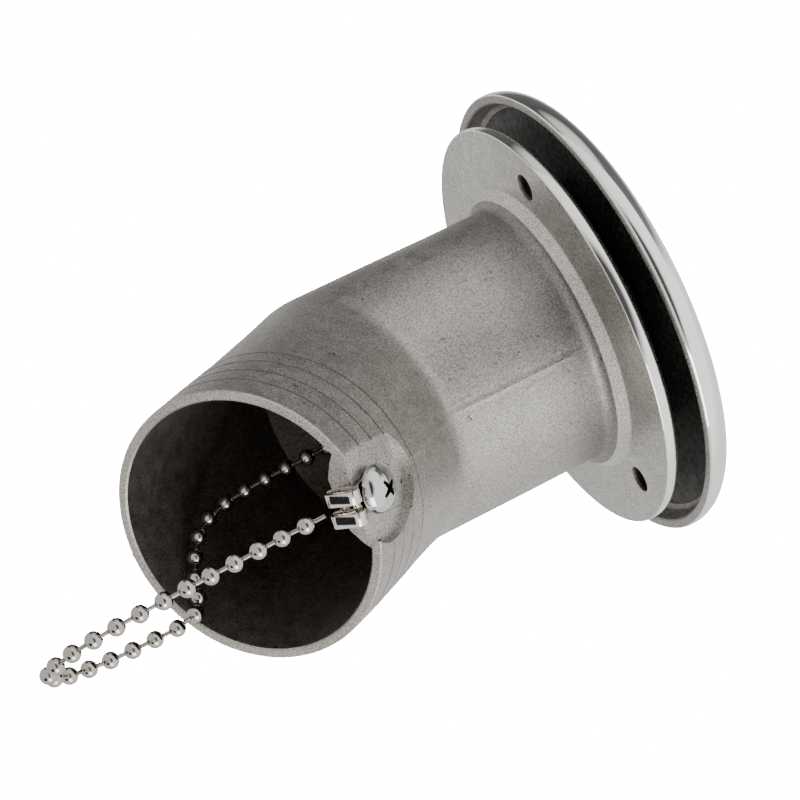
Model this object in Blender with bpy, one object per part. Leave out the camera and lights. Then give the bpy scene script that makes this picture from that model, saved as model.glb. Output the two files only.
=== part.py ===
"""Angled deck filler with a screw cap, cast in stainless steel, with a ball chain that keeps the cap.

Frame: the origin is the centre of the flange's underside, which sits on the deck. +Z points up out of the
deck through the cap, and the hose spigot bends towards +X below the deck. The cap rests three turns open.
"""
import math

import bmesh
import bpy
from mathutils import Matrix, Vector

MM = 0.001
SEGMENTS = 72          # facets round the castings
SMALL_SEGMENTS = 24    # facets round screws, pins and the seal's section
GAP = 0.3              # clearance between touching pieces

# Filler body, in millimetres
FLANGE_R = 42.3
FLANGE_T = 3.0
EDGE_R = 1.2           # elliptical rounding of the flange's top edge, across and up
EDGE_T = 1.6
NECK_R = 26.7
NECK_BORE_R = 24.2
ROOT_R = 29.9          # foot of the conical fillet between neck and flange
BEND = math.radians(45)
BEND_Z = -42.2         # where the neck's and the spigot's axes cross
CREASE_Z = -43.9       # where the mitre plane crosses the neck's axis
SPIGOT_LENGTH = 47.8
MOUTH_R = 25.5
MOUTH_BORE_R = 23.6
SEAT_R = 27.6          # counterbore that takes the seal
SEAT_Z = 0.8
THREAD_BORE_R = 23.25
THREAD_TOP_Z = -1.6
THREAD_END_Z = -13.0
HOLE_CIRCLE_R = 35.1
HOLE_R = 2.6
SINK_R = 4.9           # countersink of the deck screws
HOLE_ANGLES = (60, 180, 300)

# Cap, in millimetres, three turns of a 2 mm thread open
CAP_R = 47.0
CAP_TOP_Z = 16.3
SHOULDER_R = 42.5
SHOULDER_Z = 12.0
BAND_Z = 7.4           # widest point of the rim
LIP_Z = 6.4
DISH_R = 43.0
DISH_Z = 9.75
PLUG_SHOULDER_R = 23.7
PLUG_R = 22.9
PLUG_BORE_R = 20.2
PLUG_END_Z = -6.0
WEB_Z = 7.6
RECESS_R = 20.0
RECESS_Z = 10.2
SEAL_R = 25.4
SEAL_SECTION_R = 1.25
SEAL_Z = 8.2

# Flip handle and its pins, in millimetres
HANDLE_R = 19.2
HANDLE_T = 3.2
HANDLE_Z = 13.0
HANDLE_HOLE_R = 12.0
HANDLE_BAR = 4.2       # width of the bar along the pin
BARREL_R = 1.9
PIN_R = 0.9
PIN_IN = 15.0
PIN_OUT = 22.4

# Chain screw, clips and ball chain, in millimetres
SCREW_BACK = 4.8       # screw axis to the plane of the mouth
SPOT_LEVEL = 23.2      # spot-face above the spigot's axis, at the screw
SPOT_TILT = math.radians(5)    # it drops towards the mouth
SPOT_ROLL = math.radians(8)    # and towards +Y
SPOT_R = 9.9
SPOT_BACK = 6.5
BOSS_LEVEL = 19.3
BOSS_HALF = 8.4
BOSS_FRONT = 0.3
BOSS_BACK = 18.5
SHANK_R = 2.0
HEAD_R = 4.3
HEAD_H = 3.1
CLIP_REACH = 6.6       # screw axis to the bands' middle
SPIGOT_LIFT = 2.0      # bands' top above the clip's eye
CAP_LIFT = 0.2
BAND_TILT = math.radians(9)
BAND_LENGTH = 6.3
BAND_HEIGHT = 3.0
BAND_WIDTH = 2.3
BAND_SPACING = 3.9     # between the middles of the two bands
SHEET = 0.5
BEAD_D = 3.2

# Route of the ball chain, in metres, from the cap's clip to the spigot's clip
CHAIN_ROUTE = (
    (0.0074, 0.0000, 0.0007),
    (0.0074, 0.0000, -0.0150),
    (0.0070, 0.0000, -0.0300),
    (0.0066, 0.0001, -0.0450),
    (0.0063, 0.0003, -0.0600),
    (0.0063, 0.0008, -0.0700),
    (0.0073, 0.0019, -0.0770),
    (0.0103, 0.0044, -0.0817),
    (0.0141, 0.0081, -0.0846),
    (0.0180, 0.0111, -0.0864),
    (0.0207, 0.0126, -0.0875),
    (0.0225, 0.0132, -0.0893),
    (0.0231, 0.0136, -0.0920),
    (0.0235, 0.0135, -0.0970),
    (0.0244, 0.0131, -0.1030),
    (0.0260, 0.0123, -0.1085),
    (0.0285, 0.0110, -0.1130),
    (0.0316, 0.0093, -0.1158),
    (0.0350, 0.0075, -0.1168),
    (0.0384, 0.0057, -0.1158),
    (0.0416, 0.0040, -0.1127),
    (0.0439, 0.0028, -0.1074),
    (0.0455, 0.0020, -0.1010),
    (0.0469, 0.0013, -0.0930),
    (0.0479, 0.0008, -0.0850),
    (0.0486, 0.0004, -0.0770),
    (0.0492, 0.0001, -0.0710),
    (0.0494, 0.0000, -0.0653),
)
CHAIN_POINTS = 46

X_AXIS = Vector((1, 0, 0))
Y_AXIS = Vector((0, 1, 0))
Z_AXIS = Vector((0, 0, 1))
OUT = Vector((math.sin(BEND), 0, -math.cos(BEND)))    # out of the spigot's mouth
UP = Vector((math.cos(BEND), 0, math.sin(BEND)))      # across the spigot, towards the deck
MOUTH = Vector((0, 0, BEND_Z)) + SPIGOT_LENGTH * OUT


def clear_scene():
    for obj in list(bpy.data.objects):
        bpy.data.objects.remove(obj, do_unlink=True)


def material(name, colour, metallic, roughness):
    made = bpy.data.materials.new(name)
    made.use_nodes = True
    shader = made.node_tree.nodes["Principled BSDF"]
    shader.inputs["Base Color"].default_value = (*colour, 1)
    shader.inputs["Metallic"].default_value = metallic
    shader.inputs["Roughness"].default_value = roughness
    return made


def add_object(name, mesh_builder, look=None, origin=Vector()):
    """An object from a bmesh in millimetres, with its origin at a point given in millimetres."""
    bmesh.ops.recalc_face_normals(mesh_builder, faces=mesh_builder.faces)
    shift = Matrix.Translation(-origin)
    bmesh.ops.transform(mesh_builder, matrix=Matrix.Scale(MM, 4) @ shift, verts=mesh_builder.verts)
    mesh = bpy.data.meshes.new(name)
    mesh_builder.to_mesh(mesh)
    mesh_builder.free()
    obj = bpy.data.objects.new(name, mesh)
    obj.location = origin * MM
    bpy.context.scene.collection.objects.link(obj)
    if look:
        mesh.materials.append(look)
        mesh.shade_smooth()
        mesh.set_sharp_from_angle(angle=math.radians(32))
    return obj


def apply_boolean(obj, tools, operation):
    """Joins or cuts with each helper object in turn, and removes the helpers."""
    for tool in tools:
        step = obj.modifiers.new(operation.title(), "BOOLEAN")
        step.operation = operation
        step.solver = "EXACT"
        step.object = tool
    with bpy.context.temp_override(object=obj, active_object=obj):
        for step in list(obj.modifiers):
            bpy.ops.object.modifier_apply(modifier=step.name)
    for tool in tools:
        bpy.data.objects.remove(tool, do_unlink=True)


def placed(origin, x_dir, y_dir, z_dir):
    """Matrix that carries local axes onto the three given directions at an origin."""
    turn = Matrix((x_dir, y_dir, z_dir)).transposed().to_4x4()
    return Matrix.Translation(origin) @ turn


def circle(radius, z, count):
    return [
        Vector((radius * math.cos(2 * math.pi * i / count), radius * math.sin(2 * math.pi * i / count), z))
        for i in range(count)
    ]


def arc(centre, radius_x, radius_z, start, end, count):
    """Points (r, z) on an elliptical arc, the angles in degrees."""
    points = []
    for i in range(count + 1):
        angle = math.radians(start + (end - start) * i / count)
        points.append((centre[0] + radius_x * math.cos(angle), centre[1] + radius_z * math.sin(angle)))
    return points


def skin(rings, loop=False):
    """A closed mesh through rings of points. It joins the last ring to the first, or fills both ends."""
    builder = bmesh.new()
    made = [[builder.verts.new(point) for point in ring] for ring in rings]
    pairs = list(zip(made, made[1:]))
    if loop:
        pairs.append((made[-1], made[0]))
    for first, second in pairs:
        count = len(first)
        for i in range(count):
            j = (i + 1) % count
            builder.faces.new((first[i], first[j], second[j], second[i]))
    if not loop:
        builder.faces.new(made[0])
        builder.faces.new(list(reversed(made[-1])))
    return builder


def turned(profile, count, loop=False):
    """A body turned about Z from (r, z) points, with flat ends or, as a loop, with a bore."""
    return skin([circle(radius, z, count) for radius, z in profile], loop)


def extruded(outline, thickness, at):
    """A plate from an outline in local XY, centred on local Z, placed by a matrix."""
    rings = [[Vector((x, y, side * thickness / 2)) for x, y in outline] for side in (-1, 1)]
    builder = skin(rings)
    bmesh.ops.transform(builder, matrix=at, verts=builder.verts)
    return builder


def cylinder(radius, low, high, at=Matrix(), count=SMALL_SEGMENTS):
    builder = turned(((radius, low), (radius, high)), count)
    bmesh.ops.transform(builder, matrix=at, verts=builder.verts)
    return builder


def stadium(length, height, count=8):
    """Outline of a bar with round ends, its ends at x = 0 and x = length."""
    radius = height / 2
    points = []
    for centre, start in ((length - radius, -90), (radius, 90)):
        points += arc((centre, 0), radius, radius, start, start + 180, count)
    return points


def spigot_ring(radius_neck, radius_mouth, share):
    """A section between the mitre at share 0 and the mouth at share 1."""
    ring = []
    slope = math.tan(BEND / 2)
    for i in range(SEGMENTS):
        angle = 2 * math.pi * i / SEGMENTS
        x, y = radius_neck * math.cos(angle), radius_neck * math.sin(angle)
        start = Vector((x, y, CREASE_Z + slope * x))
        end = MOUTH + radius_mouth * (math.cos(angle) * UP + math.sin(angle) * Y_AXIS)
        ring.append(start.lerp(end, share))
    return ring


def mouth_frame(back, level):
    """Local X out of the mouth along the spot-face, Y across it and Z up from it."""
    along = math.cos(SPOT_TILT) * OUT - math.sin(SPOT_TILT) * UP
    upright = math.cos(SPOT_TILT) * UP + math.sin(SPOT_TILT) * OUT
    normal = math.cos(SPOT_ROLL) * upright + math.sin(SPOT_ROLL) * Y_AXIS
    return placed(MOUTH - back * OUT + level * UP, along, normal.cross(along), normal)


def make_filler_body(look):
    edge = arc((FLANGE_R - EDGE_R, FLANGE_T - EDGE_T), EDGE_R, EDGE_T, 90, 0, 6)
    edge += [(FLANGE_R, 0.2), (FLANGE_R - 0.2, 0)]
    outside = edge + [(ROOT_R, 0), (ROOT_R - 1.3, -1.9), (NECK_R + 0.3, -3.0), (NECK_R, -4.4)]
    inside = [
        (NECK_BORE_R, THREAD_END_Z - 1),
        (THREAD_BORE_R, THREAD_END_Z),
        (THREAD_BORE_R, THREAD_TOP_Z),
        (NECK_BORE_R, THREAD_TOP_Z + 0.5),
        (NECK_BORE_R, SEAT_Z),
        (SEAT_R, SEAT_Z),
        (SEAT_R, FLANGE_T - 0.4),
        (SEAT_R + 0.4, FLANGE_T),
    ]
    rings = [circle(radius, z, SEGMENTS) for radius, z in outside]
    rings += [spigot_ring(NECK_R, MOUTH_R, share) for share in (0, 0.25, 0.5, 0.75, 1)]
    rings += [spigot_ring(NECK_BORE_R, MOUTH_BORE_R, share) for share in (1, 0.5, 0)]
    rings += [circle(radius, z, SEGMENTS) for radius, z in inside]
    body = add_object("filler_body", skin(rings, loop=True), look)

    boss = [(-BOSS_HALF - 1.6, 3.6), (-BOSS_HALF + 3.6, 0), (BOSS_HALF - 3.6, 0), (BOSS_HALF + 1.6, 3.6)]
    boss += [(6, 4.8), (-6, 4.8)]
    at = placed(MOUTH - (BOSS_FRONT + BOSS_BACK) / 2 * OUT + BOSS_LEVEL * UP, -Y_AXIS, UP, -OUT)
    apply_boolean(body, [add_object("boss", extruded(boss, BOSS_BACK - BOSS_FRONT, at))], "UNION")

    spot_level = SPOT_LEVEL + (SPOT_BACK - SCREW_BACK) * math.tan(SPOT_TILT)
    cutters = [
        add_object("spot_face", cylinder(SPOT_R, 0, 8, mouth_frame(SPOT_BACK, spot_level), 48)),
        add_object("tapped_hole", cylinder(SHANK_R + GAP, -9, 4, mouth_frame(SCREW_BACK, SPOT_LEVEL))),
    ]
    sink = [(HOLE_R, -1), (HOLE_R, 0.6), (SINK_R + 0.5, FLANGE_T + 0.5)]
    for degrees in HOLE_ANGLES:
        angle = math.radians(degrees)
        centre = Vector((HOLE_CIRCLE_R * math.cos(angle), HOLE_CIRCLE_R * math.sin(angle), 0))
        hole = turned(sink, SMALL_SEGMENTS)
        bmesh.ops.translate(hole, vec=centre, verts=hole.verts)
        cutters.append(add_object("deck_hole", hole))
    apply_boolean(body, cutters, "DIFFERENCE")


def cap_profile():
    """Outer side from the crown to the lip, then the dish, the plug and the web inside the plug."""
    drop = CAP_TOP_Z - SHOULDER_Z
    crown_radius = (SHOULDER_R ** 2 + drop ** 2) / (2 * drop)
    crown = []
    for i in range(7):
        r = 4 + (SHOULDER_R - 4) * i / 6
        crown.append((r, CAP_TOP_Z - crown_radius + math.sqrt(crown_radius ** 2 - r ** 2)))
    band = arc((SHOULDER_R, BAND_Z), CAP_R - SHOULDER_R, SHOULDER_Z - BAND_Z, 78, 0, 7)
    lip = [(CAP_R - 0.1, LIP_Z + 0.2), (CAP_R - 0.3, LIP_Z), (CAP_R - 1.9, LIP_Z), (CAP_R - 2.2, LIP_Z + 0.4)]
    dish = [(CAP_R - 2.6, DISH_Z - 1.6), (DISH_R, DISH_Z)]
    plug = [
        (PLUG_SHOULDER_R, DISH_Z),
        (PLUG_SHOULDER_R, 5.6),
        (PLUG_R, 5.2),
        (PLUG_R, PLUG_END_Z + 0.6),
        (PLUG_R - 0.6, PLUG_END_Z),
        (PLUG_BORE_R, PLUG_END_Z),
        (PLUG_BORE_R, WEB_Z - 0.8),
        (PLUG_BORE_R - 0.8, WEB_Z),
        (4, WEB_Z),
    ]
    return crown + band + lip + dish + plug


def make_cap_body(look):
    body = add_object("cap_body", turned(cap_profile(), SEGMENTS), look)
    across = placed(Vector((0, 0, HANDLE_Z)), X_AXIS, -Z_AXIS, Y_AXIS)
    scoop = bmesh.new()
    bmesh.ops.create_uvsphere(scoop, u_segments=24, v_segments=12, radius=10)
    bmesh.ops.translate(scoop, vec=Vector((21, 0, 20.5)), verts=scoop.verts)
    cutters = [
        add_object("recess", cylinder(RECESS_R, RECESS_Z, CAP_TOP_Z + 2, count=SEGMENTS)),
        add_object("pin_pockets", cylinder(PIN_R + GAP, -PIN_OUT - GAP, PIN_OUT + GAP, across)),
        add_object("scoop", scoop),
        add_object("clip_hole", cylinder(SHANK_R + GAP, WEB_Z - 1, WEB_Z + 2)),
    ]
    apply_boolean(body, cutters, "DIFFERENCE")


def make_cap_seal(look):
    ring = []
    for i in range(16):
        angle = 2 * math.pi * i / 16
        ring.append((SEAL_R + SEAL_SECTION_R * math.cos(angle), SEAL_Z - SEAL_SECTION_R * math.sin(angle)))
    add_object("cap_seal", turned(ring, SEGMENTS, loop=True), look, Vector((0, 0, SEAL_Z)))


def make_handle(look):
    """A half-round bail hinged along its straight bar, lying flush in the cap's recess."""
    origin = Vector((0, 0, HANDLE_Z))
    outline = arc((0, 0), HANDLE_R, HANDLE_R, -80, 80, 24)
    hole = arc((0, 0), HANDLE_HOLE_R, HANDLE_HOLE_R, -66, 66, 18)
    hole = [(x, y) for x, y in hole if x > HANDLE_BAR]
    plate = extruded([(0, -18.9)] + outline + [(0, 18.9)], HANDLE_T, Matrix.Translation(origin))
    handle = add_object("flip_handle", plate, look, origin)
    along = placed(origin, X_AXIS, -Z_AXIS, Y_AXIS)
    barrel = add_object("barrel", cylinder(BARREL_R, -18.4, 18.4, along))
    apply_boolean(handle, [barrel], "UNION")
    cutters = [add_object("opening", extruded(hole, HANDLE_T + 2, Matrix.Translation(origin)))]
    for side in (-1, 1):
        low, high = sorted((side * (PIN_IN - GAP), side * (PIN_OUT + 1)))
        cutters.append(add_object("pin_hole", cylinder(PIN_R + GAP, low, high, along)))
    apply_boolean(handle, cutters, "DIFFERENCE")


def make_handle_pins(look):
    for name, side in (("handle_pin_left", 1), ("handle_pin_right", -1)):
        middle = Vector((0, side * (PIN_IN + PIN_OUT) / 2, HANDLE_Z))
        half = (PIN_OUT - PIN_IN) / 2
        at = placed(middle, X_AXIS, -Z_AXIS, Y_AXIS)
        add_object(name, cylinder(PIN_R, -half, half, at), look, middle)


def make_screw(name, at, length, look):
    """A domed screw with a cross recess, its head's underside at local z = 0 and its shank below."""
    dome = arc((0, 0.5), HEAD_R, HEAD_H - 0.5, 78, 0, 6)
    builder = turned(dome + [(HEAD_R, 0), (SHANK_R, 0), (SHANK_R, -length)], SMALL_SEGMENTS)
    bmesh.ops.transform(builder, matrix=at, verts=builder.verts)
    screw = add_object(name, builder, look)
    arms = [(-2.1, -0.45), (2.1, -0.45), (2.1, 0.45), (-2.1, 0.45)]
    cutters = []
    for quarter in range(2):
        turn = Matrix.Rotation(quarter * math.pi / 2, 4, "Z")
        cutters.append(add_object("cross", extruded(arms, 3, at @ turn @ Matrix.Translation((0, 0, HEAD_H)))))
    apply_boolean(screw, cutters, "DIFFERENCE")


def make_clip(name, at, lift, look):
    """Two oval bands side by side, bridged at the back, on a tongue with an eye for the screw.

    Local frame: the eye lies in local XY at the origin. The tongue runs along +X to the bands, which
    stand `lift` above it and hang along -Z. Their openings run along local Y.
    """
    eye = arc((0, 0), 3.2, 3.2, 60, 300, 12) + [(CLIP_REACH - 0.5, -2.6), (CLIP_REACH - 0.5, 2.6)]
    clip = add_object(name, extruded(eye, SHEET, at), look)
    apply_boolean(clip, [add_object("eye_hole", cylinder(SHANK_R + GAP, -2, 2, at))], "DIFFERENCE")
    tilt = Matrix.Rotation(math.pi / 2 - BAND_TILT, 4, "Y")
    down = at @ Matrix.Translation((CLIP_REACH, 0, lift)) @ tilt
    joins = []
    for side in (-1, 1):
        turn = down @ Matrix.Translation((0, side * BAND_SPACING / 2, 0)) @ Matrix.Rotation(math.pi / 2, 4, "X")
        band = add_object("band", extruded(stadium(BAND_LENGTH, BAND_HEIGHT), BAND_WIDTH, turn))
        inner = [(x + SHEET, y) for x, y in stadium(BAND_LENGTH - 2 * SHEET, BAND_HEIGHT - 2 * SHEET)]
        apply_boolean(band, [add_object("inside", extruded(inner, BAND_WIDTH + 2, turn))], "DIFFERENCE")
        joins.append(band)
    bridge = [(1.6, -1.3), (4.6, -1.3), (4.6, 1.3), (1.6, 1.3)]
    back = down @ Matrix.Translation((0, 0, -(BAND_HEIGHT - SHEET) / 2))
    joins.append(add_object("bridge", extruded(bridge, 0.8 * SHEET, back)))
    apply_boolean(clip, joins, "UNION")


def smooth_route(points, count):
    """Points at even spacing along a Catmull-Rom curve through the given points."""
    ends = [2 * points[0] - points[1]] + points + [2 * points[-1] - points[-2]]
    fine = []
    for a, b, c, d in zip(ends, ends[1:], ends[2:], ends[3:]):
        for i in range(20):
            t = i / 20
            fine.append(0.5 * (2 * b + (c - a) * t + (2 * a - 5 * b + 4 * c - d) * t ** 2
                               + (3 * b - a - 3 * c + d) * t ** 3))
    fine.append(points[-1])
    lengths = [0.0]
    for first, second in zip(fine, fine[1:]):
        lengths.append(lengths[-1] + (second - first).length)
    even, at = [], 0
    for i in range(count):
        want = lengths[-1] * i / (count - 1)
        while at < len(fine) - 2 and lengths[at + 1] < want:
            at += 1
        share = (want - lengths[at]) / (lengths[at + 1] - lengths[at])
        even.append(fine[at].lerp(fine[at + 1], share))
    return even


def make_chain(look):
    curve = bpy.data.curves.new("ball_chain", "CURVE")
    curve.dimensions = "3D"
    curve.bevel_depth = BEAD_D / 2 * MM
    curve.bevel_resolution = 2
    curve.use_fill_caps = True
    spline = curve.splines.new("POLY")
    route = smooth_route([Vector(point) for point in CHAIN_ROUTE], CHAIN_POINTS)
    spline.points.add(len(route) - 1)
    for point, place in zip(spline.points, route):
        point.co = (*place, 1)
    curve.materials.append(look)
    bpy.context.scene.collection.objects.link(bpy.data.objects.new("ball_chain", curve))


def main():
    clear_scene()
    cast = material("blasted_steel", (0.46, 0.44, 0.42), 1.0, 0.5)
    polished = material("polished_steel", (0.8, 0.8, 0.79), 1.0, 0.1)
    nickel = material("nickel", (0.72, 0.69, 0.65), 1.0, 0.16)
    rubber = material("black_rubber", (0.03, 0.03, 0.03), 0.0, 0.6)

    make_filler_body(cast)
    make_cap_body(polished)
    make_cap_seal(rubber)
    make_handle(polished)
    make_handle_pins(polished)

    spigot_eye = mouth_frame(SCREW_BACK, SPOT_LEVEL) @ Matrix.Translation((0, 0, GAP + SHEET / 2))
    make_clip("spigot_chain_clip", spigot_eye, SPIGOT_LIFT, nickel)
    lift = Matrix.Translation((0, 0, SHEET / 2 + GAP))
    make_screw("chain_screw", spigot_eye @ lift, 6.4, polished)

    web_eye = placed(Vector((0, 0, WEB_Z - GAP - SHEET / 2)), X_AXIS, -Y_AXIS, -Z_AXIS)
    make_clip("cap_chain_clip", web_eye @ Matrix.Rotation(math.pi, 4, "X"), CAP_LIFT, nickel)
    make_screw("cap_chain_screw", web_eye @ lift, 2.7, polished)
    make_chain(nickel)


main()
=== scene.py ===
"""Looks for the deck filler: fine castings, a real ball chain, polished and blasted steel, studio and camera."""
import math

import bmesh
import bpy
from mathutils import Matrix, Vector, noise


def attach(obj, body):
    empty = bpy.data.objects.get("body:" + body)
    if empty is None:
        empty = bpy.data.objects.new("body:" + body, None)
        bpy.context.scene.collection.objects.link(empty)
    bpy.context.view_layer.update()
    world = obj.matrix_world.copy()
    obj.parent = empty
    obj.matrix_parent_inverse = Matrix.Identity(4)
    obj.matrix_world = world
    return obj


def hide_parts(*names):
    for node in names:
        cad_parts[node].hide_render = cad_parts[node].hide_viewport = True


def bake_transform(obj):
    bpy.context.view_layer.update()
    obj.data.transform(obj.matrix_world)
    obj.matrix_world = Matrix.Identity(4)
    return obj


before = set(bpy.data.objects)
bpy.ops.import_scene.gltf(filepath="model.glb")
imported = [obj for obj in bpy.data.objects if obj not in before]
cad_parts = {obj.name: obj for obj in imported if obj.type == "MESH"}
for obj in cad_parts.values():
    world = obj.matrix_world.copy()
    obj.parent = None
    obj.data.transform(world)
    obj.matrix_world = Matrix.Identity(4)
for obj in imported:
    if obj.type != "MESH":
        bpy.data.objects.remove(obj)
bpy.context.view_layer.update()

MM = 0.001
AROUND = 288           # facets round the castings
SMALL = 56             # facets round screws and pins
GAP = 0.3

# Filler body, in millimetres, as in the CAD model
FLANGE_R = 42.3
FLANGE_T = 3.0
EDGE_R = 1.2
EDGE_T = 1.6
NECK_R = 26.7
NECK_BORE_R = 24.2
ROOT_R = 29.9
BEND = math.radians(45)
BEND_Z = -42.2
CREASE_Z = -43.9
CREASE_ROUND = 2.2     # the crease is rounded this far to both sides
SPIGOT_LENGTH = 47.8
MOUTH_R = 25.5
MOUTH_BORE_R = 23.6
SEAT_R = 27.6
SEAT_Z = 0.8
THREAD_R = 23.25
HOLE_CIRCLE_R = 35.1
HOLE_R = 2.6
SINK_R = 4.9
HOLE_ANGLES = (60, 180, 300)
BARBS = (17.4, 13.4, 9.4, 5.4)    # grooves behind the hose barbs, from the mouth

# Cap
CAP_R = 47.0
CAP_TOP_Z = 16.3
SHOULDER_R = 42.5
SHOULDER_Z = 12.0
BAND_Z = 7.4
LIP_Z = 6.4
DISH_R = 43.0
DISH_Z = 9.75
PLUG_SHOULDER_R = 23.7
PLUG_R = 22.9
PLUG_BORE_R = 20.2
PLUG_END_Z = -6.0
THREAD_PITCH = 2.0
WEB_Z = 7.6
RECESS_R = 20.0
RECESS_Z = 10.2
SEAL_R = 25.4
SEAL_SECTION_R = 1.25
SEAL_Z = 8.2

# Flip handle and pins
HANDLE_R = 19.2
HANDLE_T = 3.2
HANDLE_Z = 13.0
HANDLE_HOLE_R = 12.0
HANDLE_BAR = 4.2
BARREL_R = 1.9
PIN_R = 0.9
PIN_IN = 15.0
PIN_OUT = 22.4

# Chain screw, clips and chain
SCREW_BACK = 4.8
SPOT_LEVEL = 23.2
SPOT_TILT = math.radians(5)
SPOT_ROLL = math.radians(8)
SPOT_R = 9.9
SPOT_BACK = 6.5
BOSS_LEVEL = 19.3
BOSS_HALF = 8.4
BOSS_FRONT = 0.3
BOSS_BACK = 18.5
SHANK_R = 2.0
HEAD_R = 4.3
HEAD_H = 3.1
CLIP_REACH = 6.6
SPIGOT_LIFT = 2.0
CAP_LIFT = 0.2
BAND_TILT = math.radians(9)
BAND_LENGTH = 6.3
BAND_HEIGHT = 3.0
BAND_WIDTH = 2.3
BAND_SPACING = 3.9
SHEET = 0.5
BEAD_D = 3.2
BEAD_PITCH = 4.4
LINK_R = 0.42

CHAIN_ROUTE = (
    (0.0074, 0.0000, 0.0007),
    (0.0074, 0.0000, -0.0150),
    (0.0070, 0.0000, -0.0300),
    (0.0066, 0.0001, -0.0450),
    (0.0063, 0.0003, -0.0600),
    (0.0063, 0.0008, -0.0700),
    (0.0073, 0.0019, -0.0770),
    (0.0103, 0.0044, -0.0817),
    (0.0141, 0.0081, -0.0846),
    (0.0180, 0.0111, -0.0864),
    (0.0207, 0.0126, -0.0875),
    (0.0225, 0.0132, -0.0893),
    (0.0231, 0.0136, -0.0920),
    (0.0235, 0.0135, -0.0970),
    (0.0244, 0.0131, -0.1030),
    (0.0260, 0.0123, -0.1085),
    (0.0285, 0.0110, -0.1130),
    (0.0316, 0.0093, -0.1158),
    (0.0350, 0.0075, -0.1168),
    (0.0384, 0.0057, -0.1158),
    (0.0416, 0.0040, -0.1127),
    (0.0439, 0.0028, -0.1074),
    (0.0455, 0.0020, -0.1010),
    (0.0469, 0.0013, -0.0930),
    (0.0479, 0.0008, -0.0850),
    (0.0486, 0.0004, -0.0770),
    (0.0492, 0.0001, -0.0710),
    (0.0494, 0.0000, -0.0653),
)

X_AXIS = Vector((1, 0, 0))
Y_AXIS = Vector((0, 1, 0))
Z_AXIS = Vector((0, 0, 1))
OUT = Vector((math.sin(BEND), 0, -math.cos(BEND)))    # out of the spigot's mouth
UP = Vector((math.cos(BEND), 0, math.sin(BEND)))      # across the spigot, towards the deck
MOUTH = Vector((0, 0, BEND_Z)) + SPIGOT_LENGTH * OUT

# Camera: place, view direction and the direction that is up in the picture
CAMERA_AT = Vector((0.36475, -0.08759, -0.12648))
CAMERA_RIGHT = Vector((0.31291, 0.37738, 0.87159))
CAMERA_UP = Vector((-0.10585, -0.89810, 0.42686))
CAMERA_BACK = Vector((0.94387, -0.22583, -0.24108))
LENS_MM = 90
FLOOR_Z = -0.30


# ---------------------------------------------------------------- node helpers

class Shader:
    """A material under construction: its nodes and the Principled shader."""

    def __init__(self, name, colour, metallic, roughness):
        self.material = bpy.data.materials.new(name)
        self.material.use_nodes = True
        self.tree = self.material.node_tree
        self.principled = self.tree.nodes["Principled BSDF"]
        self.set("Base Color", (*colour, 1))
        self.set("Metallic", metallic)
        self.set("Roughness", roughness)
        self.place = self.add("ShaderNodeTexCoord").outputs["Object"]

    def add(self, kind, **values):
        node = self.tree.nodes.new(kind)
        for key, value in values.items():
            setattr(node, key, value)
        return node

    def set(self, socket, value):
        self.principled.inputs[socket].default_value = value

    def wire(self, output, node, socket):
        self.tree.links.new(output, node.inputs[socket])

    def noise(self, size_mm, detail=3.0, stretch=(1, 1, 1), rough=0.55, seed=0.0):
        """Noise whose features are about size_mm across. A stretch under 1 lengthens them along an axis."""
        mapping = self.add("ShaderNodeMapping")
        mapping.inputs["Scale"].default_value = [1000 / size_mm * part for part in stretch]
        mapping.inputs["Location"].default_value = (seed, seed * 1.7, seed * 0.6)
        self.wire(self.place, mapping, "Vector")
        texture = self.add("ShaderNodeTexNoise")
        texture.inputs["Scale"].default_value = 1.0
        texture.inputs["Detail"].default_value = detail
        texture.inputs["Roughness"].default_value = rough
        self.wire(mapping.outputs[0], texture, "Vector")
        return texture.outputs["Fac"]

    def ramp(self, value, stops):
        """Maps a value through (position, grey or colour) stops."""
        node = self.add("ShaderNodeValToRGB")
        ramp = node.color_ramp
        while len(ramp.elements) < len(stops):
            ramp.elements.new(0.5)
        for element, (position, colour) in zip(ramp.elements, stops):
            element.position = position
            element.color = (*colour, 1) if isinstance(colour, tuple) else (colour, colour, colour, 1)
        self.wire(value, node, "Fac")
        return node.outputs["Color"]

    def mix(self, factor, first, second, blend="MIX"):
        node = self.add("ShaderNodeMix", data_type="RGBA", blend_type=blend)
        for socket, value in ((0, factor), (6, first), (7, second)):
            if isinstance(value, bpy.types.NodeSocket):
                self.tree.links.new(value, node.inputs[socket])
            elif socket == 0:
                node.inputs[0].default_value = value
            else:
                node.inputs[socket].default_value = (*value, 1)
        return node.outputs[2]

    def bump(self, height, strength, distance_mm, below=None):
        node = self.add("ShaderNodeBump")
        node.inputs["Strength"].default_value = strength
        node.inputs["Distance"].default_value = distance_mm * MM
        self.wire(height, node, "Height")
        if below:
            self.wire(below, node, "Normal")
        return node.outputs["Normal"]

    def finish(self, colour=None, roughness=None, normal=None):
        for output, socket in ((colour, "Base Color"), (roughness, "Roughness"), (normal, "Normal")):
            if output:
                self.wire(output, self.principled, socket)
        return self.material


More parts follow.
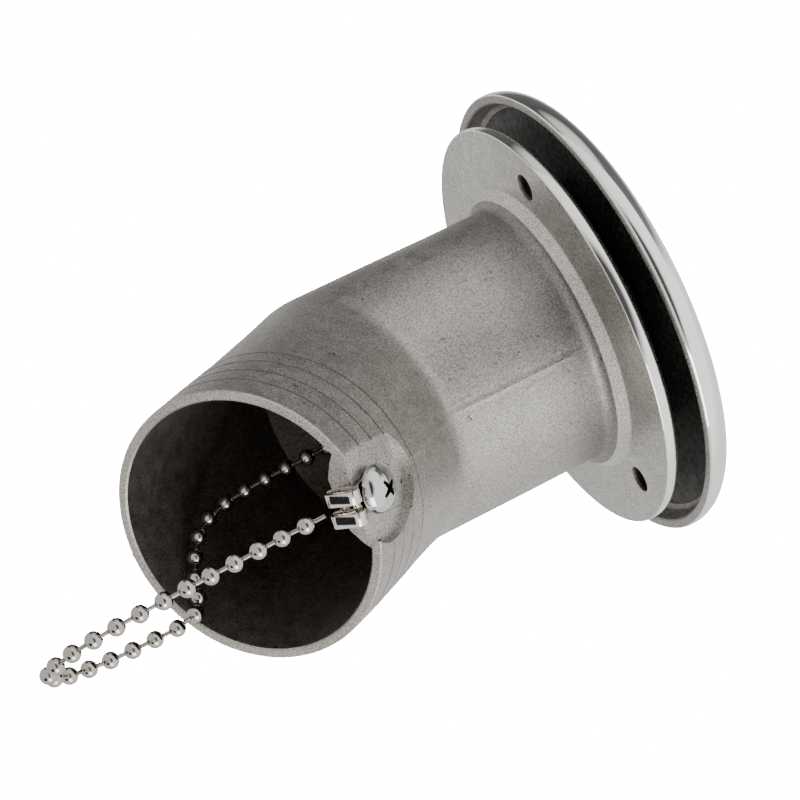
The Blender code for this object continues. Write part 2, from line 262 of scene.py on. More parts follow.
def blasted(name, colour, roughness, grain, rust=0.0, seed=0.0, painted_root_shade=False):
    """Bead-blasted casting: fine sparkle, soft clouds of tone, a few brown specks, and optionally painted shade,
    darker towards the flange root.
    """
    s = Shader(name, colour, 1.0, roughness)
    clouds = s.ramp(s.noise(15, 4, seed=seed), [(0.3, 0.84), (0.7, 1.0)])
    fine = s.ramp(s.noise(0.34, 2, seed=seed + 3), [(0.34, 0.5), (0.66, 1.0)])
    tone = s.mix(1.0, s.mix(1.0, colour, clouds, "MULTIPLY"), fine, "MULTIPLY")
    # Painted shade: the tone darkens from z -16 mm up to -3 mm, towards the flange root.
    if painted_root_shade:
        split = s.add("ShaderNodeSeparateXYZ")
        s.wire(s.place, split, 0)
        height = s.add("ShaderNodeMapRange")
        height.inputs["From Min"].default_value = -16 * MM
        height.inputs["From Max"].default_value = -3 * MM
        s.wire(split.outputs["Z"], height, "Value")
        tone = s.mix(1.0, tone, s.ramp(height.outputs["Result"], [(0.0, 1.0), (1.0, 0.6)]), "MULTIPLY")
    if rust:
        specks = s.noise(1.1, 3, rough=0.7, seed=seed + 7)
        patches = s.ramp(s.noise(9, 2, seed=seed + 9), [(0.46, 0.0), (0.56, rust)])
        mask = s.mix(1.0, s.ramp(specks, [(0.63, 0.0), (0.67, 1.0)]), patches, "MULTIPLY")
        tone = s.mix(mask, tone, (0.11, 0.035, 0.018))
    rough = s.ramp(s.noise(2.5, 3, seed=seed + 5), [(0.3, roughness - 0.07), (0.7, roughness + 0.09)])
    normal = s.bump(s.noise(0.5, 3, seed=seed + 2), grain, 0.08)
    normal = s.bump(s.noise(6, 3, seed=seed + 4), 0.07, 0.25, normal)
    return s.finish(tone, rough, normal)


def polished(name, colour, roughness, scratch=0.06):
    """Mirror-polished steel with hairline scratches and smears."""
    s = Shader(name, colour, 1.0, roughness)
    rough = s.ramp(s.noise(5, 4, seed=2), [(0.35, roughness), (0.75, roughness + 0.07)])
    hair = s.noise(0.5, 4, stretch=(0.12, 1.0, 1.0), seed=1)
    tone = s.mix(1.0, colour, s.ramp(s.noise(8, 2, seed=5), [(0.3, 0.92), (0.7, 1.0)]), "MULTIPLY")
    normal = s.bump(hair, scratch, 0.01)
    normal = s.bump(s.noise(9, 2, seed=6), 0.05, 0.12, normal)
    return s.finish(tone, rough, normal)


def radial_brushed(name, colour, roughness):
    """Turned face seen in the dish: dark, with scratches running out from the cap's axis."""
    s = Shader(name, colour, 1.0, roughness)
    split = s.add("ShaderNodeSeparateXYZ")
    s.wire(s.place, split, 0)
    angle = s.add("ShaderNodeMath", operation="ARCTAN2")
    s.wire(split.outputs["Y"], angle, 0)
    s.wire(split.outputs["X"], angle, 1)
    joined = s.add("ShaderNodeCombineXYZ")
    s.wire(angle.outputs[0], joined, "X")
    s.wire(split.outputs["Z"], joined, "Z")
    streaks = s.add("ShaderNodeTexNoise")
    streaks.inputs["Scale"].default_value = 90
    streaks.inputs["Detail"].default_value = 4
    s.wire(joined.outputs[0], streaks, "Vector")
    tone = s.mix(1.0, colour, s.ramp(streaks.outputs["Fac"], [(0.35, 0.35), (0.7, 1.0)]), "MULTIPLY")
    pits = s.ramp(s.noise(1.3, 3, rough=0.7, seed=4), [(0.4, 0.5), (0.62, 1.0)])
    tone = s.mix(1.0, tone, pits, "MULTIPLY")
    rough = s.ramp(s.noise(3, 3, seed=8), [(0.3, roughness - 0.08), (0.7, roughness + 0.1)])
    normal = s.bump(streaks.outputs["Fac"], 0.3, 0.12)
    normal = s.bump(s.noise(0.8, 3, seed=3), 0.35, 0.1, normal)
    return s.finish(tone, rough, normal)


def rubber(name):
    s = Shader(name, (0.02, 0.02, 0.021), 0.0, 0.55)
    rough = s.ramp(s.noise(1.5, 3), [(0.3, 0.45), (0.7, 0.7)])
    tone = s.mix(1.0, (0.024, 0.024, 0.025), s.ramp(s.noise(4, 3), [(0.3, 0.7), (0.7, 1.0)]), "MULTIPLY")
    return s.finish(tone, rough, s.bump(s.noise(0.5, 2), 0.15, 0.05))


# The neck carries painted shade, darker towards the flange root.
CAST = blasted("cast_neck", (0.60, 0.57, 0.53), 0.46, 0.8, rust=0.7, painted_root_shade=True)
CAST_FLANGE = blasted("cast_flange", (0.69, 0.66, 0.615), 0.40, 0.45, seed=11)
# Painted highlight: a lighter copy of the cast finish for the root bevel ring.
CAST_ROOT_LIT = blasted("cast_root_ring_painted_highlight", (0.84, 0.81, 0.76), 0.46, 0.7, seed=17)
CAST_RIM = blasted("cast_rim", (0.70, 0.655, 0.595), 0.48, 0.7, rust=0.5, seed=23)
SPOT = blasted("spot_face", (0.72, 0.69, 0.65), 0.42, 0.6, rust=1.0, seed=31)
# Painted shade: a dark copy of the cast finish for the barb grooves.
GROOVE_SHADE = blasted("barb_groove_painted_shade", (0.22, 0.20, 0.18), 0.55, 0.5, seed=37)
BORE = blasted("bore", (0.32, 0.285, 0.25), 0.55, 0.6, rust=0.9, seed=41)
POLISHED = polished("mirror_steel", (0.94, 0.925, 0.90), 0.035, 0.03)
TURNED = polished("turned_steel", (0.66, 0.65, 0.63), 0.2, 0.25)
SATIN_TOP = polished("satin_recess", (0.6, 0.595, 0.58), 0.24, 0.2)
DISH = radial_brushed("dish", (0.15, 0.14, 0.13), 0.5)
LIP = blasted("cap_lip", (0.46, 0.44, 0.415), 0.5, 1.0, seed=53)
NICKEL = polished("nickel_clip", (0.72, 0.68, 0.62), 0.045, 0.05)
# Painted shade: the beads take a darker copy of the clip's nickel.
BEAD_SHADE = polished("nickel_bead_painted_shade", (0.50, 0.465, 0.42), 0.05, 0.04)
LINK = polished("nickel_link", (0.34, 0.315, 0.285), 0.2, 0.2)
SCREW = polished("screw_steel", (0.66, 0.65, 0.64), 0.05, 0.04)
# Painted shade: near-black steel in the screw's cross recess and in the pin and clip holes.
RECESS_SHADE = polished("screw_recess_painted_shade", (0.05, 0.05, 0.05), 0.4, 0.2)
RUBBER = rubber("seal_rubber")


# ---------------------------------------------------------------- mesh helpers

def add_object(name, builder, looks):
    """An object from a bmesh in millimetres. Faces keep the material index they were given."""
    bmesh.ops.recalc_face_normals(builder, faces=builder.faces)
    bmesh.ops.transform(builder, matrix=Matrix.Scale(MM, 4), verts=builder.verts)
    mesh = bpy.data.meshes.new(name)
    builder.to_mesh(mesh)
    builder.free()
    obj = bpy.data.objects.new(name, mesh)
    bpy.context.scene.collection.objects.link(obj)
    for look in looks:
        mesh.materials.append(look)
    return obj


def smooth(obj, degrees=30):
    obj.data.shade_smooth()
    obj.data.set_sharp_from_angle(angle=math.radians(degrees))


def apply_all(obj):
    with bpy.context.temp_override(object=obj, active_object=obj):
        for step in list(obj.modifiers):
            bpy.ops.object.modifier_apply(modifier=step.name)


def apply_boolean(obj, tools, operation):
    for tool in tools:
        step = obj.modifiers.new(operation.title(), "BOOLEAN")
        step.operation = operation
        step.solver = "EXACT"
        step.material_mode = "TRANSFER"
        step.object = tool
    apply_all(obj)
    for tool in tools:
        bpy.data.objects.remove(tool, do_unlink=True)


def bevel(obj, width_mm, segments=2, degrees=32):
    step = obj.modifiers.new("Bevel", "BEVEL")
    step.width = width_mm * MM
    step.segments = segments
    step.limit_method = "ANGLE"
    step.angle_limit = math.radians(degrees)
    step.harden_normals = False
    apply_all(obj)


def stand_for(obj, node, body):
    """The piece replaces a CAD node and rides on its body."""
    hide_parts(node)
    if body:
        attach(obj, body)


def placed(origin, x_dir, y_dir, z_dir):
    turn = Matrix((x_dir, y_dir, z_dir)).transposed().to_4x4()
    return Matrix.Translation(origin) @ turn


def circle(radius, z, count):
    return [
        Vector((radius * math.cos(2 * math.pi * i / count), radius * math.sin(2 * math.pi * i / count), z))
        for i in range(count)
    ]


def arc(centre, radius_x, radius_z, start, end, count):
    points = []
    for i in range(count + 1):
        angle = math.radians(start + (end - start) * i / count)
        points.append((centre[0] + radius_x * math.cos(angle), centre[1] + radius_z * math.sin(angle)))
    return points


def skin(rings, loop=False, looks=None):
    """A closed mesh through rings. looks gives the material index of the band that starts at each ring."""
    builder = bmesh.new()
    made = [[builder.verts.new(point) for point in ring] for ring in rings]
    pairs = list(zip(made, made[1:]))
    if loop:
        pairs.append((made[-1], made[0]))
    for band, (first, second) in enumerate(pairs):
        count = len(first)
        for i in range(count):
            j = (i + 1) % count
            face = builder.faces.new((first[i], first[j], second[j], second[i]))
            face.material_index = looks[band] if looks else 0
    if not loop:
        first = builder.faces.new(made[0])
        last = builder.faces.new(list(reversed(made[-1])))
        first.material_index = looks[0] if looks else 0
        last.material_index = looks[-1] if looks else 0
    return builder


def turned(profile, count, loop=False, looks=None):
    return skin([circle(radius, z, count) for radius, z in profile], loop, looks)


def extruded(outline, thickness, at):
    rings = [[Vector((x, y, side * thickness / 2)) for x, y in outline] for side in (-1, 1)]
    builder = skin(rings)
    bmesh.ops.transform(builder, matrix=at, verts=builder.verts)
    return builder


def cylinder(radius, low, high, at=Matrix(), count=SMALL):
    builder = turned(((radius, low), (radius, high)), count)
    bmesh.ops.transform(builder, matrix=at, verts=builder.verts)
    return builder


def stadium(length, height, count=16):
    radius = height / 2
    points = []
    for centre, start in ((length - radius, -90), (radius, 90)):
        points += arc((centre, 0), radius, radius, start, start + 180, count)
    return points


def mouth_frame(back, level):
    """Local X out of the mouth along the spot-face, Y across it and Z up from it."""
    along = math.cos(SPOT_TILT) * OUT - math.sin(SPOT_TILT) * UP
    upright = math.cos(SPOT_TILT) * UP + math.sin(SPOT_TILT) * OUT
    normal = math.cos(SPOT_ROLL) * upright + math.sin(SPOT_ROLL) * Y_AXIS
    return placed(MOUTH - back * OUT + level * UP, along, normal.cross(along), normal)


# ---------------------------------------------------------------- filler body

def mitre_ring(radius, count=AROUND):
    slope = math.tan(BEND / 2)
    ring = []
    for point in circle(radius, 0, count):
        ring.append(Vector((point.x, point.y, CREASE_Z + slope * point.x)))
    return ring


def mouth_ring(radius, back, count=AROUND):
    centre = MOUTH - back * OUT
    return [centre + point.x * UP + point.y * Y_AXIS for point in circle(radius, 0, count)]


def between(first, second, share, swell=0.0):
    """A ring between two others, swollen in or out from its own middle."""
    ring = [a.lerp(b, share) for a, b in zip(first, second)]
    middle = sum(ring, Vector()) / len(ring)
    return [middle + (point - middle) * (1 + swell) for point in ring]


def neck_rings():
    """Rings from the flange's top edge down the outside to the crease, with the material of each band."""
    cast, polish, flange, root = 0, 1, 2, 3
    rings, looks = [], []

    def put(radius, z, look):
        rings.append(circle(radius, z, AROUND))
        looks.append(look)

    put(FLANGE_R - 3.2, FLANGE_T, polish)
    for radius, z in arc((FLANGE_R - EDGE_R, FLANGE_T - EDGE_T), EDGE_R, EDGE_T, 90, 0, 12):
        put(radius, z, polish)
    put(FLANGE_R - 0.01, 0.25, polish)
    put(FLANGE_R - 0.06, 0.09, polish)
    put(FLANGE_R - 0.2, 0.0, flange)
    for step in range(1, 6):
        put(FLANGE_R - 0.2 - (FLANGE_R - 0.4 - ROOT_R) * step / 6, 0, flange)
    put(ROOT_R + 0.2, 0, flange)
    # The root bevel bands take the lighter cast copy: painted highlight.
    put(ROOT_R, -0.12, root)
    put(ROOT_R - 1.25, -1.8, root)
    put(ROOT_R - 1.5, -1.98, cast)
    for radius, z in arc((NECK_R + 1.7, -4.4), 1.7, 2.3, 100, 180, 6):
        put(radius, z, cast)
    for step in range(1, 13):
        put(NECK_R, -4.4 - 2.05 * step, cast)
    return rings, looks


def spigot_rings():
    """Rings from the crease to the mouth: a shallow hollow behind the crease, then four low barbs."""
    crease = mitre_ring(NECK_R)
    barbs_from = mouth_ring(MOUTH_R + 0.3, BARBS[0] + 3.4)
    rings = []
    for t in (0, 0.25, 0.5, 0.75, 1):
        ring = []
        for corner, ahead in zip(crease, barbs_from):
            above = corner + CREASE_ROUND * Z_AXIS
            below = corner + CREASE_ROUND * (ahead - corner).normalized()
            ring.append((1 - t) ** 2 * above + 2 * t * (1 - t) * corner + t ** 2 * below)
        rings.append(ring)
    for share, swell in ((0.25, -0.004), (0.45, -0.006), (0.7, -0.004)):
        rings.append(between(crease, barbs_from, share, swell))
    rings.append(barbs_from)
    looks = [0] * (len(rings) - 1)
    for back in BARBS:
        low = 0.3 * back / BARBS[0]
        rings.append(mouth_ring(MOUTH_R + low, back + 0.13))
        rings.append(mouth_ring(MOUTH_R + low - 0.14, back + 0.03))
        rings.append(mouth_ring(MOUTH_R + low - 0.14, back - 0.07))
        rings.append(mouth_ring(MOUTH_R + low - 0.04, back - 0.22))
        # Index 8 paints each groove's flanks and floor dark: painted shade.
        looks += [0, 8, 8, 8]
    rings.append(mouth_ring(MOUTH_R, 2.2))
    rings.append(mouth_ring(MOUTH_R - 0.06, 0.4))
    rings.append(mouth_ring(MOUTH_R - 0.28, 0.06))
    return rings, looks + [0, 0, 4, 4]


def roughen_neck(obj):
    """Small cast-in unevenness on the outside, and the raised parting line on both sides of the mould."""
    for vertex in obj.data.vertices:
        place = vertex.co * 1000
        axis_point = Vector((0, 0, place.z))
        if place.z < BEND_Z:
            along = max(0.0, (place - Vector((0, 0, BEND_Z))).dot(OUT))
            axis_point = Vector((0, 0, BEND_Z)) + along * OUT
        away = place - axis_point
        if place.z > -5 or away.length < 24.9:
            continue
        lift = 0.10 * noise.noise(place / 11) + 0.045 * noise.noise(place / 3.5)
        if abs(away.y) < 0.3:
            lift += 0.2
        vertex.co += away.normalized() * lift * MM


def make_filler_body():
    outside, looks = neck_rings()
    spigot, spigot_looks = spigot_rings()
    looks += spigot_looks
    rim_in, bore = 4, 5
    inside = [
        mouth_ring(MOUTH_BORE_R + 0.3, 0.02),
        mouth_ring(MOUTH_BORE_R + 0.02, 0.35),
        mouth_ring(MOUTH_BORE_R, 12),
        mitre_ring(NECK_BORE_R),
    ]
    looks += [rim_in, bore, bore, bore]
    profile = [(NECK_BORE_R, -14.0), (THREAD_R, -13.0), (THREAD_R, -1.6), (NECK_BORE_R, -1.1)]
    profile += [(NECK_BORE_R, SEAT_Z), (SEAT_R, SEAT_Z), (SEAT_R, FLANGE_T - 0.4), (SEAT_R + 0.4, FLANGE_T)]
    inside += [circle(radius, z, AROUND) for radius, z in profile]
    looks += [bore, bore, bore, bore, 6, 6, 6, 6]
    builder = skin(outside + spigot + inside, loop=True, looks=looks)
    all_looks = [CAST, POLISHED, CAST_FLANGE, CAST_ROOT_LIT, CAST_RIM, BORE, TURNED, SPOT, GROOVE_SHADE]
    body = add_object("filler_casting", builder, all_looks)
    roughen_neck(body)

    half = BOSS_HALF
    boss = [(-half - 1.6, 3.6), (-half + 1.0, 1.5), (-half + 3.6, 0), (half - 3.6, 0), (half - 1.0, 1.5),
            (half + 1.6, 3.6), (6, 4.8), (-6, 4.8)]
    at = placed(MOUTH - (BOSS_FRONT + BOSS_BACK) / 2 * OUT + BOSS_LEVEL * UP, -Y_AXIS, UP, -OUT)
    apply_boolean(body, [add_object("boss", extruded(boss, BOSS_BACK - BOSS_FRONT, at), [CAST_RIM])], "UNION")

    spot_level = SPOT_LEVEL + (SPOT_BACK - SCREW_BACK) * math.tan(SPOT_TILT)
    spot = cylinder(SPOT_R, 0, 8, mouth_frame(SPOT_BACK, spot_level), 128)
    hole = cylinder(SHANK_R + GAP, -9, 4, mouth_frame(SCREW_BACK, SPOT_LEVEL))
    cutters = [add_object("spot", spot, [SPOT]), add_object("tapped_hole", hole, [BORE])]
    sink = [(HOLE_R + 0.25, -0.3), (HOLE_R, 0.15), (HOLE_R, 0.6), (SINK_R + 0.5, FLANGE_T + 0.5)]
    for degrees in HOLE_ANGLES:
        angle = math.radians(degrees)
        centre = Vector((HOLE_CIRCLE_R * math.cos(angle), HOLE_CIRCLE_R * math.sin(angle), 0))
        deck_hole = turned(sink, SMALL)
        bmesh.ops.translate(deck_hole, vec=centre, verts=deck_hole.verts)
        cutters.append(add_object("deck_hole", deck_hole, [BORE]))
    apply_boolean(body, cutters, "DIFFERENCE")
    smooth(body, 28)
    stand_for(body, "filler_body", "filler")


# ---------------------------------------------------------------- cap, seal and handle

def cap_profile():
    """Points from crown to lip, dish, plug and web, with the material of the band after each point."""
    mirror, lip_look, dish_look, turned_look = 0, 1, 2, 3
    drop = CAP_TOP_Z - SHOULDER_Z
    crown_radius = (SHOULDER_R ** 2 + drop ** 2) / (2 * drop)
    profile, looks = [], []

    def put(points, look):
        profile.extend(points)
        looks.extend([look] * len(points))

    crown = []
    for i in range(15):
        r = 1.5 + (SHOULDER_R - 1.5) * i / 14
        crown.append((r, CAP_TOP_Z - crown_radius + math.sqrt(crown_radius ** 2 - r ** 2)))
    put(crown, mirror)
    put(arc((SHOULDER_R, BAND_Z), CAP_R - SHOULDER_R, SHOULDER_Z - BAND_Z, 80, 0, 18), mirror)
    put([(CAP_R - 0.04, LIP_Z + 0.3), (CAP_R - 0.14, LIP_Z + 0.1)], mirror)
    put([(CAP_R - 0.35, LIP_Z), (CAP_R - 1.8, LIP_Z), (CAP_R - 2.1, LIP_Z + 0.25)], lip_look)
    put([(CAP_R - 2.3, LIP_Z + 0.8), (CAP_R - 2.6, DISH_Z - 1.7), (CAP_R - 3.1, DISH_Z - 0.7)], lip_look)
    put([(DISH_R, DISH_Z - 0.1), (DISH_R - 1, DISH_Z), (34, DISH_Z), (PLUG_SHOULDER_R + 0.5, DISH_Z)], dish_look)
    put([(PLUG_SHOULDER_R, DISH_Z - 0.5), (PLUG_SHOULDER_R, 5.6), (PLUG_R - 0.5, 5.2)], turned_look)
    z = 4.6
    while z - THREAD_PITCH > PLUG_END_Z + 0.4:
        crests = [(PLUG_R - 0.9, z), (PLUG_R - 0.05, z - 0.75), (PLUG_R - 0.05, z - 1.15)]
        put(crests + [(PLUG_R - 0.9, z - 1.9)], turned_look)
        z -= THREAD_PITCH
    put([(PLUG_R - 0.9, PLUG_END_Z + 0.3), (PLUG_R - 1.2, PLUG_END_Z), (PLUG_BORE_R, PLUG_END_Z)], turned_look)
    put([(PLUG_BORE_R, WEB_Z - 0.8), (PLUG_BORE_R - 0.8, WEB_Z), (1.5, WEB_Z)], turned_look)
    return profile, looks


def make_cap():
    profile, looks = cap_profile()
    all_looks = [POLISHED, LIP, DISH, TURNED, SATIN_TOP, RECESS_SHADE]
    body = add_object("cap_casting", turned(profile, AROUND, looks=looks), all_looks)
    across = placed(Vector((0, 0, HANDLE_Z)), X_AXIS, -Z_AXIS, Y_AXIS)
    scoop = bmesh.new()
    bmesh.ops.create_uvsphere(scoop, u_segments=64, v_segments=32, radius=10)
    bmesh.ops.translate(scoop, vec=Vector((21, 0, 20.5)), verts=scoop.verts)
    recess = turned([(RECESS_R - 0.7, RECESS_Z), (RECESS_R, RECESS_Z + 0.7), (RECESS_R, CAP_TOP_Z + 2)], 192)
    pockets = cylinder(PIN_R + GAP, -PIN_OUT - GAP, PIN_OUT + GAP, across, 32)
    cutters = [
        add_object("recess", recess, [SATIN_TOP]),
        add_object("pin_pockets", pockets, [RECESS_SHADE]),
        add_object("scoop", scoop, [POLISHED]),
        add_object("clip_hole", cylinder(SHANK_R + GAP, WEB_Z - 1, WEB_Z + 2), [RECESS_SHADE]),
    ]
    apply_boolean(body, cutters, "DIFFERENCE")
    smooth(body, 28)
    stand_for(body, "cap_body", "cap")

    ring = []
    for radius, z in arc((SEAL_R, SEAL_Z), SEAL_SECTION_R, SEAL_SECTION_R, 0, -345, 23):
        ring.append((radius, z))
    seal = add_object("seal_ring", turned(ring, 192, loop=True), [RUBBER])
    smooth(seal, 60)
    stand_for(seal, "cap_seal", "cap")


def make_handle():
    origin = Vector((0, 0, HANDLE_Z))
    outline = [(0, -18.9)] + arc((0, 0), HANDLE_R, HANDLE_R, -80, 80, 64) + [(0, 18.9)]
    plate = extruded(outline, HANDLE_T, Matrix.Translation(origin))
    handle = add_object("bail", plate, [POLISHED])
    along = placed(origin, X_AXIS, -Z_AXIS, Y_AXIS)
    apply_boolean(handle, [add_object("barrel", cylinder(BARREL_R, -18.4, 18.4, along), [POLISHED])], "UNION")
    hole = [(x, y) for x, y in arc((0, 0), HANDLE_HOLE_R, HANDLE_HOLE_R, -69.5, 69.5, 48) if x > HANDLE_BAR]
    cutters = [add_object("opening", extruded(hole, HANDLE_T + 2, Matrix.Translation(origin)), [POLISHED])]
    for side in (-1, 1):
        low, high = sorted((side * (PIN_IN - GAP), side * (PIN_OUT + 1)))
        cutters.append(add_object("pin_hole", cylinder(PIN_R + GAP, low, high, along, 32), [RECESS_SHADE]))
    apply_boolean(handle, cutters, "DIFFERENCE")
    bevel(handle, 0.35, 3, 50)
    smooth(handle, 35)
    stand_for(handle, "flip_handle", "handle")


# ---------------------------------------------------------------- screws, clips and chain

def make_screw(name, node, body, at, length):
    dome = arc((0, 0.5), HEAD_R, HEAD_H - 0.5, 84, 0, 14)
    profile = dome + [(HEAD_R - 0.04, 0.2), (HEAD_R - 0.25, 0), (SHANK_R, 0), (SHANK_R, -length)]
    builder = turned(profile, SMALL)
    bmesh.ops.transform(builder, matrix=at, verts=builder.verts)
    screw = add_object(name, builder, [SCREW, RECESS_SHADE])
    arms = [(-1.9, -0.28), (-0.5, -0.5), (0.5, -0.5), (1.9, -0.28), (1.9, 0.28), (0.5, 0.5), (-0.5, 0.5),
            (-1.9, 0.28)]
    # The cross recess takes near-black steel: painted shade.
    cutters = []
    for quarter in range(2):
        turn = Matrix.Rotation(quarter * math.pi / 2 + 0.5, 4, "Z")
        cross = extruded(arms, 3, at @ turn @ Matrix.Translation((0, 0, HEAD_H)))
        cutters.append(add_object("cross", cross, [RECESS_SHADE]))
    apply_boolean(screw, cutters, "DIFFERENCE")
    smooth(screw, 35)
    stand_for(screw, node, body)


def make_clip(name, node, body, at, lift):
    eye = arc((0, 0), 3.2, 3.2, 60, 300, 32) + [(CLIP_REACH - 0.5, -2.6), (CLIP_REACH - 0.5, 2.6)]
    clip = add_object(name, extruded(eye, SHEET, at), [NICKEL])
    apply_boolean(clip, [add_object("eye_hole", cylinder(SHANK_R + GAP, -2, 2, at), [NICKEL])], "DIFFERENCE")
    down = at @ Matrix.Translation((CLIP_REACH, 0, lift)) @ Matrix.Rotation(math.pi / 2 - BAND_TILT, 4, "Y")
    joins = []
    for side in (-1, 1):
        turn = down @ Matrix.Translation((0, side * BAND_SPACING / 2, 0)) @ Matrix.Rotation(math.pi / 2, 4, "X")
        band = add_object("band", extruded(stadium(BAND_LENGTH, BAND_HEIGHT), BAND_WIDTH, turn), [NICKEL])
        inner = [(x + SHEET, y) for x, y in stadium(BAND_LENGTH - 2 * SHEET, BAND_HEIGHT - 2 * SHEET)]
        apply_boolean(band, [add_object("inside", extruded(inner, BAND_WIDTH + 2, turn), [NICKEL])], "DIFFERENCE")
        joins.append(band)
    bridge = [(1.6, -1.3), (4.6, -1.3), (4.6, 1.3), (1.6, 1.3)]
    back = down @ Matrix.Translation((0, 0, -(BAND_HEIGHT - SHEET) / 2))
    joins.append(add_object("bridge", extruded(bridge, 0.8 * SHEET, back), [NICKEL]))
    apply_boolean(clip, joins, "UNION")
    bevel(clip, 0.09, 2, 50)
    smooth(clip, 35)
    stand_for(clip, node, body)


def smooth_route(points, spacing):
    """Points at an even spacing along a Catmull-Rom curve through the given points."""
    ends = [2 * points[0] - points[1]] + points + [2 * points[-1] - points[-2]]
    fine = []
    for a, b, c, d in zip(ends, ends[1:], ends[2:], ends[3:]):
        for i in range(20):
            t = i / 20
            fine.append(0.5 * (2 * b + (c - a) * t + (2 * a - 5 * b + 4 * c - d) * t ** 2
                               + (3 * b - a - 3 * c + d) * t ** 3))
    fine.append(points[-1])
    lengths = [0.0]
    for first, second in zip(fine, fine[1:]):
        lengths.append(lengths[-1] + (second - first).length)
    even, at, want = [], 0, 0.0
    while want <= lengths[-1]:
        while lengths[at + 1] < want:
            at += 1
        share = (want - lengths[at]) / (lengths[at + 1] - lengths[at])
        even.append(fine[at].lerp(fine[at + 1], share))
        want += spacing
    return even, lengths[-1]


def make_chain():
    """Hollow beads on short links, from the cap's clip down the neck, over the rim and back to the clip."""
    route = [Vector(point) * 1000 for point in CHAIN_ROUTE]
    path, length = smooth_route(route, 1.0)
    path.append(route[-1])
    beads = int((length - BEAD_D) // BEAD_PITCH) + 1
    spare = length - BEAD_D - (beads - 1) * BEAD_PITCH
    fine, _ = smooth_route(route, 0.05)
    centres = []
    for i in range(beads):
        along = BEAD_D / 2 + spare / 2 + i * BEAD_PITCH
        centres.append(fine[min(len(fine) - 1, round(along / 0.05))])
    builder = bmesh.new()
    for i, centre in enumerate(centres):
        ahead = centres[min(i + 1, beads - 1)] - centres[max(i - 1, 0)]
        turn = ahead.to_track_quat("Z", "Y").to_matrix().to_4x4()
        at = Matrix.Translation(centre) @ turn
        bmesh.ops.create_uvsphere(builder, u_segments=28, v_segments=18, radius=BEAD_D / 2, matrix=at)
    for face in builder.faces:
        face.material_index = 0
    stops = [route[0] - Vector((0, 0, 0.2))] + centres + [route[-1] + Vector((0, 0, -0.2))]
    for first, second in zip(stops, stops[1:]):
        middle, span = (first + second) / 2, second - first
        at = Matrix.Translation(middle) @ span.to_track_quat("Z", "Y").to_matrix().to_4x4()
        made = bmesh.ops.create_cone(builder, cap_ends=True, segments=10, radius1=LINK_R, radius2=LINK_R,
                                     depth=span.length, matrix=at)
        for vertex in made["verts"]:
            for face in vertex.link_faces:
                face.material_index = 1
    chain = add_object("bead_chain", builder, [BEAD_SHADE, LINK])
    smooth(chain, 50)
    stand_for(chain, "ball_chain", None)
    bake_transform(chain)


def dress_node(node, look):
    """A CAD node whose shape is right gets its finish in all its slots."""
    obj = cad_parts[node]
    for slot in obj.material_slots:
        slot.material = look


# ---------------------------------------------------------------- studio and camera

def make_camera():
    camera = bpy.data.objects.new("camera", bpy.data.cameras.new("camera"))
    camera.data.lens = LENS_MM
    camera.data.sensor_width = 36
    camera.data.clip_start = 0.01
    turn = Matrix((CAMERA_RIGHT, CAMERA_UP, CAMERA_BACK)).transposed().to_4x4()
    camera.matrix_world = Matrix.Translation(CAMERA_AT) @ turn
    bpy.context.scene.collection.objects.link(camera)
    bpy.context.scene.camera = camera


def make_floor():
    floor = add_object("floor", turned(((4000, -4), (4000, 0)), 96), [])
    floor.location.z = FLOOR_Z
    s = Shader("floor_white", (0.9, 0.9, 0.9), 0.0, 0.8)
    tone = s.mix(1.0, (0.93, 0.93, 0.93), s.ramp(s.noise(60, 2), [(0.3, 0.985), (0.7, 1.0)]), "MULTIPLY")
    floor.data.materials.append(s.finish(tone))


def make_flag():
    """A black card below the picture's left edge, which gives the polished parts their dark reflections."""
    facing = Vector((0.33, 0.26, -0.87)).normalized()
    turn = facing.to_track_quat("Z", "Y").to_matrix().to_4x4()
    place = Matrix.Translation(Vector((0.050, 0.0, -0.062)) + 0.16 * facing) @ turn
    outline = [(-36, -36), (36, -36), (36, 36), (-36, 36)]
    flag = add_object("flag", extruded(outline, 1.0, Matrix()), [])
    flag.matrix_world = place
    s = Shader("flag_black", (0.015, 0.015, 0.015), 0.0, 0.9)
    flag.data.materials.append(s.finish(s.ramp(s.noise(20, 2), [(0.3, 0.012), (0.7, 0.018)])))
    flag.visible_camera = False


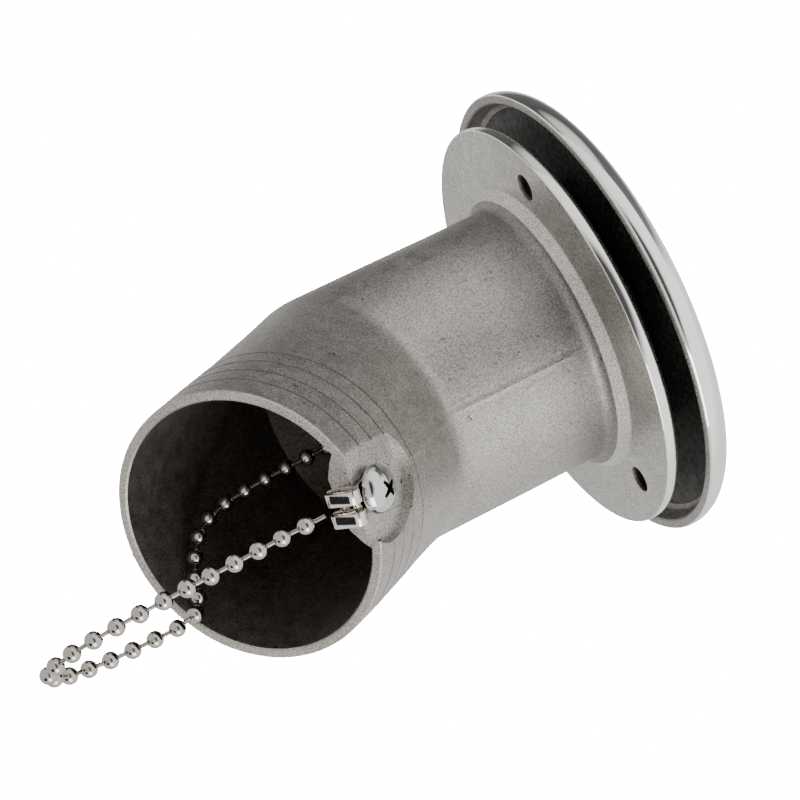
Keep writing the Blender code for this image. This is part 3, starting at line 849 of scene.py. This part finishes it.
def make_world():
    """White studio all round, with a dark zone over the top of the picture for the polished edges."""
    world = bpy.data.worlds.new("studio")
    bpy.context.scene.world = world
    world.use_nodes = True
    tree = world.node_tree
    background = tree.nodes["Background"]
    place = tree.nodes.new("ShaderNodeTexCoord")

    def along(direction):
        node = tree.nodes.new("ShaderNodeVectorMath")
        node.operation = "DOT_PRODUCT"
        node.inputs[1].default_value = direction
        tree.links.new(place.outputs["Generated"], node.inputs[0])
        return node.outputs["Value"]

    def ramp(value, stops):
        spread = tree.nodes.new("ShaderNodeMapRange")
        spread.inputs["From Min"].default_value = -1
        tree.links.new(value, spread.inputs["Value"])
        node = tree.nodes.new("ShaderNodeValToRGB")
        while len(node.color_ramp.elements) < len(stops):
            node.color_ramp.elements.new(0.5)
        for element, (position, grey) in zip(node.color_ramp.elements, stops):
            element.position = (position + 1) / 2
            element.color = (grey, grey, grey, 1)
        tree.links.new(spread.outputs["Result"], node.inputs["Fac"])
        return node.outputs["Color"]

    def combine(first, second, blend):
        node = tree.nodes.new("ShaderNodeMix")
        node.data_type = "RGBA"
        node.blend_type = blend
        node.inputs[0].default_value = 1
        tree.links.new(first, node.inputs[6])
        tree.links.new(second, node.inputs[7])
        return node.outputs[2]

    overhead = ramp(along(CAMERA_UP), [(0.42, 1.0), (0.6, 0.16), (0.9, 0.1), (0.97, 0.7)])
    front = ramp(along(CAMERA_BACK), [(0.08, 0.0), (0.14, 1.0)])
    light = combine(overhead, front, "LIGHTEN")
    side = ramp(along(CAMERA_RIGHT), [(-0.9, 0.6), (0.6, 1.0)])
    light = combine(light, side, "MULTIPLY")
    room = ramp(along(CAMERA_BACK), [(-0.3, 0.75), (0.0, 1.0), (0.72, 1.0), (0.87, 0.06)])
    light = combine(light, room, "MULTIPLY")
    tree.links.new(light, background.inputs["Color"])
    background.inputs["Strength"].default_value = 1.6

    seen = tree.nodes.new("ShaderNodeBackground")
    seen.inputs["Color"].default_value = (1, 1, 1, 1)
    seen.inputs["Strength"].default_value = 30.0
    path = tree.nodes.new("ShaderNodeLightPath")
    choose = tree.nodes.new("ShaderNodeMixShader")
    tree.links.new(path.outputs["Is Camera Ray"], choose.inputs[0])
    tree.links.new(background.outputs[0], choose.inputs[1])
    tree.links.new(seen.outputs[0], choose.inputs[2])
    tree.links.new(choose.outputs[0], tree.nodes["World Output"].inputs["Surface"])


def make_light(name, place, size, power, target=(0.0, 0.0, -0.03)):
    light = bpy.data.objects.new(name, bpy.data.lights.new(name, "AREA"))
    light.data.size = size
    light.data.energy = power
    light.location = place
    light.rotation_euler = (Vector(target) - Vector(place)).to_track_quat("-Z", "Y").to_euler()
    bpy.context.scene.collection.objects.link(light)


make_camera()
make_chain()
make_filler_body()
make_cap()
make_handle()

spigot_eye = mouth_frame(SCREW_BACK, SPOT_LEVEL) @ Matrix.Translation((0, 0, GAP + SHEET / 2))
make_clip("spigot_bands", "spigot_chain_clip", "filler", spigot_eye, SPIGOT_LIFT)
over_eye = Matrix.Translation((0, 0, SHEET / 2 + GAP))
make_screw("spigot_screw", "chain_screw", "filler", spigot_eye @ over_eye, 6.4)
web_eye = placed(Vector((0, 0, WEB_Z - GAP - SHEET / 2)), X_AXIS, -Y_AXIS, -Z_AXIS)
make_clip("cap_bands", "cap_chain_clip", "chain_swivel", web_eye @ Matrix.Rotation(math.pi, 4, "X"), CAP_LIFT)
make_screw("cap_screw", "cap_chain_screw", "cap", web_eye @ over_eye, 2.7)
for pin in ("handle_pin_left", "handle_pin_right"):
    dress_node(pin, SCREW)

make_floor()
make_world()
front_key = CAMERA_AT + 0.12 * CAMERA_RIGHT - 0.50 * CAMERA_UP
make_light("key", front_key, 0.45, 3.2)
make_flag()
